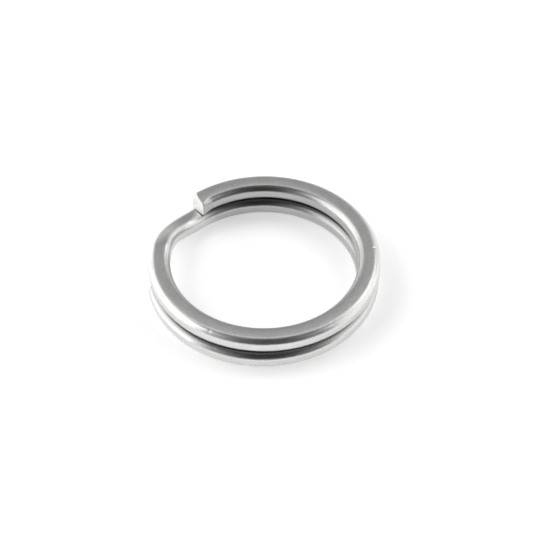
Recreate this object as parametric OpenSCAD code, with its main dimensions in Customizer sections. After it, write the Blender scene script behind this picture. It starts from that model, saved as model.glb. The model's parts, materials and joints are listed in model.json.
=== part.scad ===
// A split key ring: one length of spring wire wound into an upper and a lower turn.
// The axis of the ring is Z, the ring lies on z = 0, and +Y is the back.
// Azimuths are in degrees, counter-clockwise from +X as seen from above. From the upper
// free end the wire runs clockwise round the upper turn, steps down through the
// crossover, and runs clockwise round the lower turn to the lower free end.
// The wire bends everywhere, so each turn is divided into equal stretches. Neighbouring
// stretches meet on a radial plane, and a hinge along the wire joins them there.

/* [Ring] */
// Outside diameter of each turn
ring_od = 25; // [20:0.5:34]
// Width of the wire, across the turn
wire_w = 2.42; // [1.8:0.02:2.8]
// Thickness of the wire, along the axis of the ring
wire_t = 1.88; // [1.4:0.02:2.4]
// Radius of the wire's long edges
edge_r = 0.68; // [0.1:0.02:0.68]
// Gap between the two closed turns
turn_gap = 0.05; // [0.03:0.01:0.3]

/* [Turns] */
// How far the lower turn lies to the left of the upper one
lower_left = 0.155; // [0:0.005:0.3]
// How far the lower turn lies in front of the upper one
lower_front = 0.36; // [0:0.01:0.4]

/* [Ends and crossover] */
// Azimuth of the upper free end
upper_end_az = 130; // [124:1:132]
// Azimuth of the lower free end
lower_end_az = 190; // [180:1:200]
// Azimuth where the wire leaves the upper turn
step_top_az = 173; // [168:1:176]
// Azimuth where the wire reaches the lower turn
step_foot_az = 131; // [130:1:138]

/* [Smoothness] */
// Segments in each rounded edge of the wire
edge_steps = 5; // [3:1:8]
// Slices in the crossover
step_slices = 40; // [20:1:60]

/* [Hidden] */

$fn = 240;
wire_r = (ring_od - wire_w) / 2; // radius of the wire's centre line
pitch = wire_t + turn_gap; // height of one turn above the other
upper_z = pitch + wire_t / 2; // height of the upper centre line
stretches = 8; // in each turn
upper_span = 360 - (step_top_az - upper_end_az);
lower_span = step_foot_az + 360 - lower_end_az;
upper_step = upper_span / stretches;
lower_step = lower_span / stretches;

// The upper turn is centred across the axis and half the offset behind it.
upper_centre = [0, lower_front / 2];
lower_centre = [-lower_left, -lower_front / 2];

// Through the step the outer edge goes down first and evens out, and the inner edge
// follows, so the wire banks outwards on its way down.
outer_ease = 1.4; // how quickly the outer edge's slope falls off
inner_lag = 8; // degrees by which the inner edge starts later

steel = [0.72, 0.72, 0.71];

// The wire's cross-section, centred on the centre line: x across, y up.
function corner(x, y, from) = [
    for (i = [0 : edge_steps])
        let (a = from + 90 * i / edge_steps)
            [x + edge_r * cos(a), y + edge_r * sin(a)]
];

half_flat_w = wire_w / 2 - edge_r;
half_flat_t = wire_t / 2 - edge_r;
section = concat(
    corner(half_flat_w, half_flat_t, 0),
    corner(-half_flat_w, half_flat_t, 90),
    corner(-half_flat_w, -half_flat_t, 180),
    corner(half_flat_w, -half_flat_t, 270)
);

// A stretch of a turn, from one azimuth clockwise over a span.
module stretch(centre, height, from_az, span) {
    color(steel)
        translate([centre.x, centre.y, height])
            rotate([0, 0, from_az - span])
                rotate_extrude(angle = span)
                    translate([wire_r, 0])
                        polygon(section);
}

module upper_stretch(i) {
    stretch(upper_centre, upper_z, upper_end_az - i * upper_step, upper_step);
}

module lower_stretch(i) {
    stretch(lower_centre, wire_t / 2, step_foot_az - i * lower_step, lower_step);
}

// The crossover, as slices of the section from the upper turn down to the lower one.
function smooth(v) = let (c = min(max(v, 0), 1)) c * c * (3 - 2 * c);
function outer_drop(v) = pitch * (1 - pow(1 - v, outer_ease));
function inner_drop(az) =
    let (top = step_top_az - inner_lag)
        pitch * smooth((top - az) / (top - step_foot_az));

function slice(v) =
    let (
        az = step_top_az + v * (step_foot_az - step_top_az),
        outer = outer_drop(v),
        inner = inner_drop(az),
        bank = asin((outer - inner) / wire_w),
        middle_z = upper_z - (outer + inner) / 2,
        centre = upper_centre + smooth(v) * (lower_centre - upper_centre)
    ) [
        for (p = section)
            let (
                r = wire_r + p.x * cos(bank) + p.y * sin(bank),
                z = middle_z - p.x * sin(bank) + p.y * cos(bank)
            ) [centre.x + r * cos(az), centre.y + r * sin(az), z]
    ];

module crossover() {
    n = len(section);
    points = [for (s = [0 : step_slices]) each slice(s / step_slices)];
    sides = [
        for (s = [0 : step_slices - 1], i = [0 : n - 1])
            let (a = s * n + i, b = s * n + (i + 1) % n)
                each [[a, b, b + n], [a, b + n, a + n]]
    ];
    first = [for (i = [n - 1 : -1 : 0]) i];
    last = [for (i = [0 : n - 1]) step_slices * n + i];
    color(steel)
        polyhedron(points, concat(sides, [first, last]));
}

crossover();
upper_stretch(0);  // upper_end
upper_stretch(1);  // upper_back
upper_stretch(2);  // upper_back_right
upper_stretch(3);  // upper_right
upper_stretch(4);  // upper_front_right
upper_stretch(5);  // upper_front
upper_stretch(6);  // upper_front_left
upper_stretch(7);  // upper_left
lower_stretch(0);  // lower_back_left
lower_stretch(1);  // lower_back
lower_stretch(2);  // lower_back_right
lower_stretch(3);  // lower_right
lower_stretch(4);  // lower_front_right
lower_stretch(5);  // lower_front
lower_stretch(6);  // lower_front_left
lower_stretch(7);  // lower_end
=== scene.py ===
"""The looks of a split key ring: one length of satin steel wire, two turns, around the CAD frame.

The wire is drawn whole, as stations along it that each carry the same closed cross-section.
It is then cut half-way between the hinges into pieces, so that each piece holds one hinge.
Lengths are in millimetres until a mesh is made, and angles in degrees.
"""
import json
import math

import bpy
import numpy as np
from mathutils import Matrix, Vector

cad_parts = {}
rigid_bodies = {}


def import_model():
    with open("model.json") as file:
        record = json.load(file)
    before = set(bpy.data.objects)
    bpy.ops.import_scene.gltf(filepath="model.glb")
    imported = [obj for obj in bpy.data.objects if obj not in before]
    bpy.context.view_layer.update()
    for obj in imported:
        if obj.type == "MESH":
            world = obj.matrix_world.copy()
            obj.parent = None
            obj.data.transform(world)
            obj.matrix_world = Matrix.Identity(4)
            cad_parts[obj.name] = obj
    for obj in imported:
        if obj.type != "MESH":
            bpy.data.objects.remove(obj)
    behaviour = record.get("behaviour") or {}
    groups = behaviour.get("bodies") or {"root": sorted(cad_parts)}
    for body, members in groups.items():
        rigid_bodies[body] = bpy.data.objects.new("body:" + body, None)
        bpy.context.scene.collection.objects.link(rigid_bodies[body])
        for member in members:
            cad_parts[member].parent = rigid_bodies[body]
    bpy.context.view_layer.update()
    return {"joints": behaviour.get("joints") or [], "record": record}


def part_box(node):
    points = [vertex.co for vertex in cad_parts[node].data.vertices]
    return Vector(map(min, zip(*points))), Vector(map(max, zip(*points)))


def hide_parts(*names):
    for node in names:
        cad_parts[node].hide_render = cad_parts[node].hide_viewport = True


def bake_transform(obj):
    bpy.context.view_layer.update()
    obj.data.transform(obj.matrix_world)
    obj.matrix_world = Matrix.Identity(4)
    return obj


MM = 0.001
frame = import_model()
rng = np.random.default_rng(seed=25)

# ---- What the frame says about the wire ---------------------------------------------------
ROOT = "crossover"


def chain_from(child):
    """The joints from the root outwards, starting with the one that moves child."""
    joint = next(j for j in frame["joints"] if j["child"] == child)
    further = [j["child"] for j in frame["joints"] if j["parent"] == child]
    return [joint] + (chain_from(further[0]) if further else [])


def circle_through(joints):
    """The circle that the hinges lie on: the outside of a turn, as its centre and radius."""
    xy = np.array([j["pos_m"][:2] for j in joints]) / MM
    rows = np.column_stack([2 * xy, np.ones(len(xy))])
    x, y, rest = np.linalg.lstsq(rows, (xy**2).sum(axis=1), rcond=None)[0]
    return np.array([x, y]), math.sqrt(rest + x * x + y * y)


def azimuth(joint, centre):
    """The direction from a turn's centre to a hinge."""
    x, y = np.array(joint["pos_m"][:2]) / MM - centre
    return math.degrees(math.atan2(y, x)) % 360


upper_joints = chain_from("upper_left")
lower_joints = chain_from("lower_back_left")
upper_centre, outer_r = circle_through(upper_joints)
lower_centre, _ = circle_through(lower_joints)

eye = next(m for m in frame["record"]["mounts"] if m["name"] == "eye")
wire_w = outer_r - eye["dims"]["r_mm"]
wire_r = outer_r - wire_w / 2
lower_bottom, lower_top = (corner[2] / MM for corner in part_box("lower_front"))
upper_bottom, upper_top = (corner[2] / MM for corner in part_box("upper_front"))
wire_t = lower_top - lower_bottom
pitch = upper_bottom - lower_bottom

step_top_az = azimuth(upper_joints[0], upper_centre)
step_foot_az = azimuth(lower_joints[0], lower_centre)
upper_spacing = (azimuth(upper_joints[1], upper_centre) - step_top_az) % 360
lower_spacing = (step_foot_az - azimuth(lower_joints[1], lower_centre)) % 360
upper_span = upper_spacing * len(upper_joints)
lower_span = lower_spacing * len(lower_joints)
step_span = step_top_az - step_foot_az
upper_end_az = (step_top_az + upper_span) % 360

# Places along the wire are turns in degrees from the upper free end, clockwise.
step_start = upper_span
step_stop = upper_span + step_span
wire_stop = step_stop + lower_span

# ---- Shapes of the wire that the frame doesn't state --------------------------------------
EDGE_R = 0.69  # long edges
MIN_EDGE_R = 0.05  # the least that a long edge keeps where the ends are rounded off
CROWN = 0.07  # how far the broad faces fall towards their edges

# The crossover. Its outer edge goes down first, so the wire banks outwards on it.
OUTER_EASE = 1.4  # power of the outer edge's way down: steep at the kink, soft at the foot
INNER_LAG = 1.5  # how much later the inner edge starts, beyond the kink's slant
KINK_SLANT = 8.0  # how far the kink runs on along the wire from the outer to the inner side
KINK_PIVOT = 0.05  # where across the wire the kink is on its azimuth, as a share of the width
KINK_SOFT = 0.012  # share of the crossover over which the kink is rounded
STEP_EDGE_R = 0.9  # the crossover's inner top edge, pressed wider
STEP_EDGE_FADES = (0.3, 0.35)  # shares of the crossover over which it widens and narrows

# The sheared ends. Only the upper one leans and has squared inner edges.
END_ROUND = 0.08  # edge round of both ends
END_EDGE_R = 0.3  # the upper end's inner edges, squared by the shear
END_OVERHANG = 0.16  # how far the upper end runs on past the CAD's flat end
END_LEAN = 0.8  # how far back from there the shear pulled its top outer corner
END_REACH = 1.3  # length of wire over which that shape fades out

# Unevenness along the wire: its size and its wavelengths.
WANDER_ACROSS = (0.006, (7.1, 11.3, 19.7))
WANDER_UP = (0.005, (6.3, 13.9, 23.0))

# Dents in the outer top edge: small ones all along the wire, and one nick at the right.
DENT_COUNT = 26
DENT_DEPTHS = (0.002, 0.007)
DENT_LENGTHS = (0.5, 1.3)  # half-lengths, as degrees of turn
NICK_PLACE = 125.7
NICK_LENGTH = 0.6  # its half-length, likewise
NICK_DEPTH = 0.03

# Where on the section something sets in: its start, and the width over which it grows.
OUTER_TOP_EDGE = (1.2, 0.3)  # measured along x + y
OUTER_SIDE = (0.3, 0.7)  # outwards from the middle
FACING_SIDE = (0.5, 0.4)  # from the middle towards the other turn
LONG_EDGES = (0.4, 0.3)  # from the middle to either side

# Brightness beside the steel's plain tone, mostly painted light and shade.
PAINTED_OUTER_SHEEN = 0.45  # share by which a painted sheen brightens the outer side
PAINTED_EDGE_HIGHLIGHT = 0.4  # share by which a painted highlight brightens the crossover's long edges
CROSSOVER_FADE = 15.0  # turn over which the crossover's painted edge highlight sets in, and the painted shade between the turns gives way, beyond each of its ends
PAINTED_SEAM_SHADE = 0.5  # share by which painted shade darkens the faces between the turns
CUT_BRIGHTNESS = 1.7  # the sheared faces

# ---- How finely the wire is drawn ---------------------------------------------------------
STATION_STEP = 0.4  # between stations
END_STATIONS = 7  # round the edge of each end
END_CLEARANCE = 0.2  # between those and the next station
CUT_CLEARANCE = 0.12  # kept free on both sides of the station at a cut
ARC_STEPS = 10  # along each rounded long edge
BROAD_STEPS = 12  # across the top and the bottom
NARROW_STEPS = 8  # up each side


def smooth(t):
    """An even rise from 0 to 1 as t goes from 0 to 1."""
    t = np.clip(t, 0, 1)
    return t * t * (3 - 2 * t)


def beyond(distance, band):
    """0 up to where the band starts, and 1 once it is crossed."""
    start, width = band
    return smooth((distance - start) / width)


def hinge_places():
    upper = [upper_spacing * (i + 1) for i in range(len(upper_joints))]
    lower = [step_stop + lower_spacing * i for i in range(len(lower_joints))]
    return upper + lower


def mid_cuts():
    """Where the pieces begin and end: the free ends, and half-way between hinges."""
    hinges = hinge_places()
    middles = [(a + b) / 2 for a, b in zip(hinges, hinges[1:])]
    return [0.0, *middles, wire_stop]


def stations():
    """Places of the stations, closer together at the rounded ends."""
    turn = np.radians(np.linspace(0, 90, END_STATIONS))
    ends = END_ROUND * (1 - np.cos(turn)) / math.radians(wire_r)
    clear = ends[-1] + END_CLEARANCE
    middle = np.arange(0, wire_stop, STATION_STEP)
    middle = middle[(middle > clear) & (middle < wire_stop - clear)]
    cuts = mid_cuts()[1:-1]
    nearest_cut = np.abs(middle[:, None] - np.array(cuts)).min(axis=1)
    middle = middle[nearest_cut > CUT_CLEARANCE]
    return np.sort(np.concatenate([ends, wire_stop - ends, middle, cuts]))


def down_the_step(place):
    """How far along the crossover a place is, from 0 to 1."""
    return np.clip((place - step_start) / step_span, 0, 1)


def turning_centre(place):
    share = smooth(down_the_step(place))[..., None]
    return upper_centre + share * (lower_centre - upper_centre)


def height_and_bank(place):
    """Height of the centre line, and the angle in radians by which the wire banks outwards."""
    v = down_the_step(place)
    soft = KINK_SOFT
    eased = (v + np.hypot(v, soft) - soft) / (1 + math.hypot(1, soft) - soft)
    outer = pitch * (1 - (1 - eased) ** OUTER_EASE)
    lag = INNER_LAG / step_span
    inner = pitch * smooth((v - lag) / (1 - lag))
    height = upper_bottom + wire_t / 2 - (outer + inner) / 2
    return height, np.arcsin((outer - inner) / wire_w)


def section(inset, inner_top_r, inner_bottom_r):
    """The closed outline of the wire, x outwards and y up, as a row of points per station.

    The inset, which shrinks the outline all round, and the radii of the inner edges are
    given for each station.
    """
    half_w = wire_w / 2 - inset
    half_t = wire_t / 2 - inset
    outer = np.maximum(EDGE_R - inset, MIN_EDGE_R)
    inner_top = np.maximum(inner_top_r - inset, MIN_EDGE_R)
    inner_bottom = np.maximum(inner_bottom_r - inset, MIN_EDGE_R)
    corners = [(1, 1, outer), (-1, 1, inner_top), (-1, -1, inner_bottom), (1, -1, outer)]

    def on_corner(i, share):
        """The point that is the given share of the way round corner i."""
        side, level, r = corners[i]
        a = math.radians(90 * (i + share))
        return side * (half_w - r) + r * math.cos(a), level * (half_t - r) + r * math.sin(a)

    outline = []
    for i in range(4):
        outline += [on_corner(i, k / ARC_STEPS) for k in range(ARC_STEPS + 1)]
        x0, y0 = outline[-1]
        x1, y1 = on_corner((i + 1) % 4, 0)
        steps = NARROW_STEPS if i % 2 else BROAD_STEPS
        for k in range(1, steps):
            outline.append((x0 + (x1 - x0) * k / steps, y0 + (y1 - y0) * k / steps))
    x, y = (np.array(values).T for values in zip(*outline))
    # the crown takes height away towards the long edges
    return x, y * (1 - CROWN / (wire_t / 2) * (x / (wire_w / 2)) ** 2)


def wander(place, amount, lengths):
    """A slow unevenness along the wire: sines of the given wavelengths."""
    along = np.radians(place) * wire_r
    total = np.zeros_like(along)
    for length in lengths:
        total += np.sin(2 * math.pi * along / length + rng.uniform(0, 2 * math.pi))
    return amount * total / len(lengths)


def dents(place, x, y):
    """How far the nick and the dents press the outer top edge in, at each point."""
    places = np.append(rng.uniform(0, wire_stop, DENT_COUNT), NICK_PLACE)
    lengths = np.append(rng.uniform(*DENT_LENGTHS, DENT_COUNT), NICK_LENGTH)
    depths = np.append(rng.uniform(*DENT_DEPTHS, DENT_COUNT), NICK_DEPTH)
    along = (place[:, None] - places) / lengths
    pressed = (depths * np.exp(-along**2)).sum(axis=1)
    return pressed[:, None] * beyond(x + y, OUTER_TOP_EDGE)


def brightness(place, x, y):
    """How bright the steel is at each point, beside its plain tone: painted sheen on the outer
    side, a painted highlight on the crossover's long edges, painted shade between the turns, and
    the sheared faces' own brighter tone.
    """
    place = place[:, None]
    from_top = place - step_start + CROSSOVER_FADE
    from_foot = step_stop + CROSSOVER_FADE - place
    on_step = smooth(from_top / CROSSOVER_FADE) * smooth(from_foot / CROSSOVER_FADE)
    towards_other_turn = np.where(place < step_stop, -1, 1) * y
    # painted shade on the faces between the turns, left off on the crossover
    seam_shade = beyond(towards_other_turn, FACING_SIDE) * (1 - on_step)
    # painted highlight on the crossover's long edges
    edge_highlight = beyond(np.abs(x), LONG_EDGES) * on_step
    # painted sheen: the outer side of the wire is made brighter
    shade = 1 + PAINTED_OUTER_SHEEN * beyond(x, OUTER_SIDE)
    shade = shade * (1 - PAINTED_SEAM_SHADE * seam_shade) * (1 + PAINTED_EDGE_HIGHLIGHT * edge_highlight)
    # the first and last stations are the outlines of the sheared faces
    shade[[0, -1]] = CUT_BRIGHTNESS
    return shade


def wire_points():
    """The stations' places, and each point's position, wire coordinates and brightness."""
    place = stations()
    along = np.radians(place) * wire_r
    from_end = np.radians(np.minimum(place, wire_stop - place)) * wire_r
    into_round = np.clip(END_ROUND - from_end, 0, None)
    inset = END_ROUND - np.sqrt(np.clip(END_ROUND**2 - into_round**2, 0, None))
    v = down_the_step(place)
    widens, narrows = STEP_EDGE_FADES
    pressed_wider = smooth(v / widens) * smooth((1 - v) / narrows)
    at_end = 1 - smooth(along / END_REACH)
    inner_r = EDGE_R + (END_EDGE_R - EDGE_R) * at_end
    x, y = section(inset, inner_r + (STEP_EDGE_R - EDGE_R) * pressed_wider, inner_r)
    # the slanted kink reaches the inner side later than the outer side
    late = KINK_SLANT * (KINK_PIVOT - x / wire_w) * (1 - smooth(v))[:, None]
    height, bank = height_and_bank(place[:, None] - late)
    x = x + wander(place, *WANDER_ACROSS)[:, None]
    y = y + wander(place, *WANDER_UP)[:, None]
    dented = dents(place, x, y)
    x = x - dented
    y = y - dented

    out = wire_r + x * np.cos(bank) + y * np.sin(bank)
    up = height - x * np.sin(bank) + y * np.cos(bank)
    # the sheared end leans back towards its top outer corner
    far_out = 0.5 + x / wire_w
    high = np.clip(0.5 + y / wire_t, 0, 1)
    pulled_back = END_LEAN * far_out**2 * high * (2 - high) - END_OVERHANG
    az = np.radians(upper_end_az - place)[:, None] - pulled_back * at_end[:, None] / wire_r
    centre_x, centre_y = turning_centre(place).T[:, :, None]
    points = np.stack([centre_x + out * np.cos(az), centre_y + out * np.sin(az), up], axis=-1)
    along = np.repeat(along[:, None], x.shape[1], axis=1)
    return place, points, np.stack([along, x, y], axis=-1), brightness(place, x, y)


# ---- Meshes -------------------------------------------------------------------------------
def side_faces(rows, columns):
    """Quads between neighbouring rows of a tube, as indices into its flattened points."""
    i, j = np.meshgrid(np.arange(rows - 1), np.arange(columns), indexing="ij")
    here = i * columns
    ahead = here + columns
    k = (j + 1) % columns
    return np.stack([here + j, ahead + j, ahead + k, here + k], axis=-1).reshape(-1, 4)


def unit(v):
    return v / np.maximum(np.linalg.norm(v, axis=-1, keepdims=True), 1e-12)


def tube_normals(points):
    """Smooth normals of the whole wire, so the places where it is cut apart don't show."""
    rows, columns = points.shape[:2]
    flat = points.reshape(-1, 3)
    quads = side_faces(rows, columns)
    a, b, c, d = (flat[quads[:, n]] for n in range(4))
    across = np.cross(c - a, d - b)
    normals = np.zeros_like(flat)
    for n in range(4):
        np.add.at(normals, quads[:, n], across)
    normals = normals.reshape(rows, columns, 3)
    # the rims of the two sheared faces point along the wire
    for row, beside in ((0, 1), (-1, -2)):
        normals[row] = (points[row] - points[beside]).mean(axis=0)
    return unit(normals)


def make_piece(name, rows, points, normals, coords, shade):
    """One piece of the wire between two stations, closed at both ends."""
    columns = points.shape[1]
    count = rows.stop - rows.start
    verts = points[rows].reshape(-1, 3)
    sides = side_faces(count, columns)
    loop_normals = normals[rows].reshape(-1, 3)[sides.reshape(-1)].tolist()
    faces = sides.tolist()
    first = list(range(columns))
    last = list(range((count - 1) * columns, count * columns))
    # the faces that close it face away from the piece
    for ring, sense in ((first, 1), (last, -1)):
        a, b, c = (verts[ring[n * columns // 3]] for n in range(3))
        facing = sense * unit(np.cross(b - a, c - a))
        faces.append(ring[::sense])
        loop_normals += [facing.tolist()] * columns
    mesh = bpy.data.meshes.new(name)
    mesh.from_pydata((verts * MM).tolist(), [], faces)
    mesh.polygons.foreach_set("use_smooth", [True] * len(faces))
    where = mesh.attributes.new("wire_mm", "FLOAT_VECTOR", "POINT")
    where.data.foreach_set("vector", coords[rows].astype(np.float32).reshape(-1))
    shading = mesh.attributes.new("brightness", "FLOAT", "POINT")
    shading.data.foreach_set("value", shade[rows].astype(np.float32).reshape(-1))
    mesh.update()
    mesh.normals_split_custom_set(loop_normals)
    piece = bpy.data.objects.new(name, mesh)
    bpy.context.scene.collection.objects.link(piece)
    return piece


# ---- Steel --------------------------------------------------------------------------------
STEEL_TONE = (0.5, 0.5, 0.495)
# Each layer of unevenness in the surface: cycles per millimetre along and across the wire,
# detail, and share of the tone.
LAYERS = {
    "drawn": (0.9, 4.5, 4.0, 0.22),
    "grain": (6.0, 9.0, 3.0, 0.6),
    "clouds": (0.25, 0.5, 2.0, 0.15),
}
FINER_LEVELS = 0.6  # strength of each finer level of a layer, beside the one before
ROUGHNESS = 0.34
DRAWN_ROUGHNESS = 0.12  # how far the drawn streaks change it
CUT_ROUGHNESS = 0.22  # what is added on the sheared faces and the crossover's outer side
CUT_FROM = 1.5  # those two are the places brighter than this
BUMP_STRENGTH = 0.5
BUMP_HEIGHT = 0.003


def combine(tree, operation, *values):
    """A maths node: each value is a number or another node's output."""
    node = tree.nodes.new("ShaderNodeMath")
    node.operation = operation
    for socket, value in zip(node.inputs, values):
        if isinstance(value, (int, float)):
            socket.default_value = value
        else:
            tree.links.new(value, socket)
    return node.outputs["Value"]


def attribute(tree, name, output):
    node = tree.nodes.new("ShaderNodeAttribute")
    node.attribute_name = name
    return node.outputs[output]


def streaks(tree, along, across, detail):
    """Noise about 0, drawn out along the wire."""
    stretched = tree.nodes.new("ShaderNodeVectorMath")
    stretched.operation = "MULTIPLY"
    stretched.inputs[1].default_value = (along, across, across)
    tree.links.new(attribute(tree, "wire_mm", "Vector"), stretched.inputs[0])
    noise = tree.nodes.new("ShaderNodeTexNoise")
    noise.inputs["Scale"].default_value = 1.0
    noise.inputs["Detail"].default_value = detail
    noise.inputs["Roughness"].default_value = FINER_LEVELS
    tree.links.new(stretched.outputs["Vector"], noise.inputs["Vector"])
    return combine(tree, "SUBTRACT", noise.outputs["Fac"], 0.5)


def steel_material():
    """Tumbled spring steel: a satin grey with fine streaks along the wire."""
    material = bpy.data.materials.new("satin_steel")
    material.use_nodes = True
    tree = material.node_tree
    shader = tree.nodes["Principled BSDF"]
    shader.inputs["Metallic"].default_value = 1.0
    noise = {}
    uneven = 1.0
    for name, (along, across, detail, share) in LAYERS.items():
        noise[name] = streaks(tree, along, across, detail)
        uneven = combine(tree, "MULTIPLY_ADD", noise[name], share, uneven)
    # the brightness attribute holds painted sheen, highlight and shade, and the sheared faces'
    # brighter tone
    bright = attribute(tree, "brightness", "Fac")
    tone = tree.nodes.new("ShaderNodeVectorMath")
    tone.operation = "SCALE"
    tone.inputs[0].default_value = STEEL_TONE
    tree.links.new(combine(tree, "MULTIPLY", uneven, bright), tone.inputs["Scale"])
    tree.links.new(tone.outputs["Vector"], shader.inputs["Base Color"])
    rough = combine(tree, "MULTIPLY_ADD", noise["drawn"], DRAWN_ROUGHNESS, ROUGHNESS)
    cut = combine(tree, "GREATER_THAN", bright, CUT_FROM)
    rough = combine(tree, "MULTIPLY_ADD", cut, CUT_ROUGHNESS, rough)
    tree.links.new(rough, shader.inputs["Roughness"])
    bump = tree.nodes.new("ShaderNodeBump")
    bump.inputs["Strength"].default_value = BUMP_STRENGTH
    bump.inputs["Distance"].default_value = BUMP_HEIGHT * MM
    relief = combine(tree, "ADD", noise["drawn"], noise["grain"])
    tree.links.new(relief, bump.inputs["Height"])
    tree.links.new(bump.outputs["Normal"], shader.inputs["Normal"])
    return material


def build_wire():
    place, points, coords, shade = wire_points()
    normals = tube_normals(points)
    bodies = [j["child"] for j in upper_joints[::-1]] + [ROOT] + [j["child"] for j in lower_joints]
    cuts = mid_cuts()
    steel = steel_material()
    for i, hinge in enumerate(hinge_places()):
        first = int(np.searchsorted(place, cuts[i]))
        after_last = int(np.searchsorted(place, cuts[i + 1], side="right"))
        own = bodies[i] if i < len(upper_joints) else bodies[i + 1]
        piece = make_piece(f"wire_{own}", slice(first, after_last), points, normals, coords, shade)
        piece.data.materials.append(steel)
        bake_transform(piece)
        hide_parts(*([own, ROOT] if i == len(upper_joints) - 1 else [own]))


# ---- Camera and floor ---------------------------------------------------------------------
CAMERA_ELEVATION = 46.54
CAMERA_ROLL = -0.45
CAMERA_DISTANCE = 227.3
LENS = 141.46
SHIFT = (0.0107, -0.0284)
CLIP_START = 10.0


def add_camera():
    """A long lens from the front and above, aimed at the middle of the upper face."""
    target = Vector((upper_centre[0], upper_centre[1], upper_top)) * MM
    elevation = math.radians(CAMERA_ELEVATION)
    roll = math.radians(CAMERA_ROLL)
    back = Vector((0, -math.cos(elevation), math.sin(elevation)))
    right = Vector((1, 0, 0))
    up = Vector((0, math.sin(elevation), math.cos(elevation)))
    turned_right = math.cos(roll) * right + math.sin(roll) * up
    turned_up = -math.sin(roll) * right + math.cos(roll) * up
    turned = Matrix((turned_right, turned_up, back)).transposed().to_4x4()
    camera = bpy.data.objects.new("camera", bpy.data.cameras.new("camera"))
    camera.matrix_world = Matrix.Translation(target + back * CAMERA_DISTANCE * MM) @ turned
    camera.data.lens = LENS
    camera.data.shift_x, camera.data.shift_y = SHIFT
    camera.data.clip_start = CLIP_START * MM
    bpy.context.scene.collection.objects.link(camera)
    bpy.context.scene.camera = camera


FLOOR_HALF_SIZE = 1500.0
FLOOR_GAP = 0.01  # below the ring
FLOOR_TONE = 0.9
FLOOR_ROUGHNESS = 0.6
FLOOR_GLOW = 0.42  # stands in for the light of a table that is lit all round


def add_floor():
    """A plain pale table, without any gloss."""
    size = FLOOR_HALF_SIZE * MM
    corners = [(-size, -size, 0), (size, -size, 0), (size, size, 0), (-size, size, 0)]
    mesh = bpy.data.meshes.new("floor")
    mesh.from_pydata(corners, [], [(0, 1, 2, 3)])
    floor = bpy.data.objects.new("floor", mesh)
    floor.location.z = (lower_bottom - FLOOR_GAP) * MM
    material = bpy.data.materials.new("pale_floor")
    material.use_nodes = True
    shader = material.node_tree.nodes["Principled BSDF"]
    shader.inputs["Base Color"].default_value = (FLOOR_TONE, FLOOR_TONE, FLOOR_TONE, 1)
    shader.inputs["Roughness"].default_value = FLOOR_ROUGHNESS
    shader.inputs["Specular IOR Level"].default_value = 0.0
    shader.inputs["Emission Color"].default_value = (1, 1, 1, 1)
    shader.inputs["Emission Strength"].default_value = FLOOR_GLOW
    mesh.materials.append(material)
    bpy.context.scene.collection.objects.link(floor)


# ---- Light --------------------------------------------------------------------------------
# Each soft panel: azimuth, half its width, lowest and highest elevation, brightness.
# Azimuth 0 is to the right and 90 is behind the ring. The camera's side is nearly dark.
PANELS = {
    "left_low": (180, 26, -6, 14, 3.4),
    "left_middle": (180, 30, 14, 34, 1.9),
    "left_high": (180, 30, 34, 58, 2.2),
    "right_low": (0, 26, -6, 16, 1.4),
    "right_middle": (0, 28, 16, 34, 1.2),
    "right_high": (0, 28, 34, 58, 1.1),
    "back_left_low": (135, 20, -6, 22, 1.6),
    "back_left_high": (135, 22, 30, 54, 1.8),
    "back_right_low": (45, 22, -6, 30, 1.1),
    "back_right_high": (45, 22, 38, 54, 2.9),
    "back_low": (90, 24, -6, 18, 0.7),
    "back_middle": (90, 24, 18, 54, 0.35),
    "back_top": (90, 60, 54, 70, 1.2),
    "front_left_low": (226, 18, -6, 16, 0.4),
    "front_left_high": (226, 16, 16, 54, 0.25),
    "front_right_high": (314, 16, 16, 54, 0.2),
}
PANEL_SOFT = 4.0  # to both sides of a panel's edge, where the panel fades


def fade(tree, value, edge, before, after):
    """A node's output that goes softly from before to after as value passes the edge."""
    node = tree.nodes.new("ShaderNodeMapRange")
    node.interpolation_type = "SMOOTHSTEP"
    node.inputs["From Min"].default_value = math.radians(edge - PANEL_SOFT)
    node.inputs["From Max"].default_value = math.radians(edge + PANEL_SOFT)
    node.inputs["To Min"].default_value = before
    node.inputs["To Max"].default_value = after
    tree.links.new(value, node.inputs["Value"])
    return node.outputs["Result"]


def add_light():
    """Soft panels on the sky; the camera itself sees plain white there."""
    world = bpy.data.worlds.new("studio")
    world.use_nodes = True
    tree = world.node_tree
    direction = tree.nodes.new("ShaderNodeTexCoord")
    parts = tree.nodes.new("ShaderNodeSeparateXYZ")
    tree.links.new(direction.outputs["Generated"], parts.inputs["Vector"])
    around = combine(tree, "ARCTAN2", parts.outputs["Y"], parts.outputs["X"])
    above = combine(tree, "ARCSINE", parts.outputs["Z"])
    total = 0.0
    for middle, half, low, high, bright in PANELS.values():
        turned = combine(tree, "SUBTRACT", around, math.radians(middle))
        aside = combine(tree, "ABSOLUTE", combine(tree, "WRAP", turned, math.pi, -math.pi))
        lit = combine(tree, "MULTIPLY", bright, fade(tree, aside, half, 1, 0))
        lit = combine(tree, "MULTIPLY", lit, fade(tree, above, low, 0, 1))
        lit = combine(tree, "MULTIPLY", lit, fade(tree, above, high, 1, 0))
        total = combine(tree, "ADD", total, lit)
    seen = tree.nodes.new("ShaderNodeLightPath")
    strength = combine(tree, "MAXIMUM", total, seen.outputs["Is Camera Ray"])
    tree.links.new(strength, tree.nodes["Background"].inputs["Strength"])
    tree.nodes["Background"].inputs["Color"].default_value = (1, 1, 1, 1)
    bpy.context.scene.world = world


add_camera()
build_wire()
add_floor()
add_light()
bpy.context.scene.view_settings.view_transform = "Standard"
